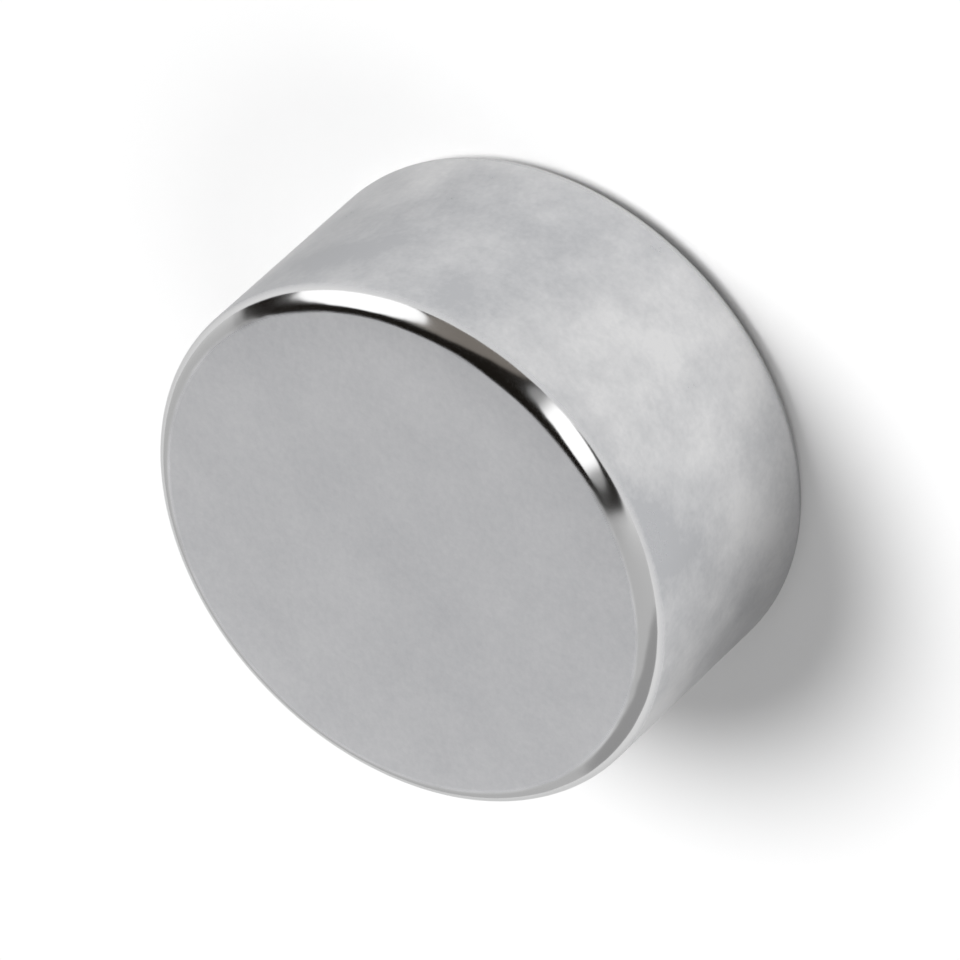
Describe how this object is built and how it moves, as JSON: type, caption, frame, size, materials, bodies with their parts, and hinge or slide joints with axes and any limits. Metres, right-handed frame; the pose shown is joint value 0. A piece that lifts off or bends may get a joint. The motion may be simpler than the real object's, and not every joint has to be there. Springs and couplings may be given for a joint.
{
  "type": "disc magnet",
  "caption": "Nickel-plated disc magnet: a short solid cylinder with two flat satin faces, a straight side wall and bright rounded rims.",
  "frame": {"origin": "centre of the lower flat face, on the disc's axis", "axes": "+Z along the disc's axis, from the lower flat face to the upper one; X and Y are any two directions across the face, because the disc is round"},
  "size_m": [0.01, 0.01, 0.005],
  "materials": {
    "nickel_plate": "satin nickel plating on faces and wall, mirror bright on the rounded rims"
  },
  "bodies": {
    "root": {"magnet": "nickel_plate"}
  },
  "joints": []
}
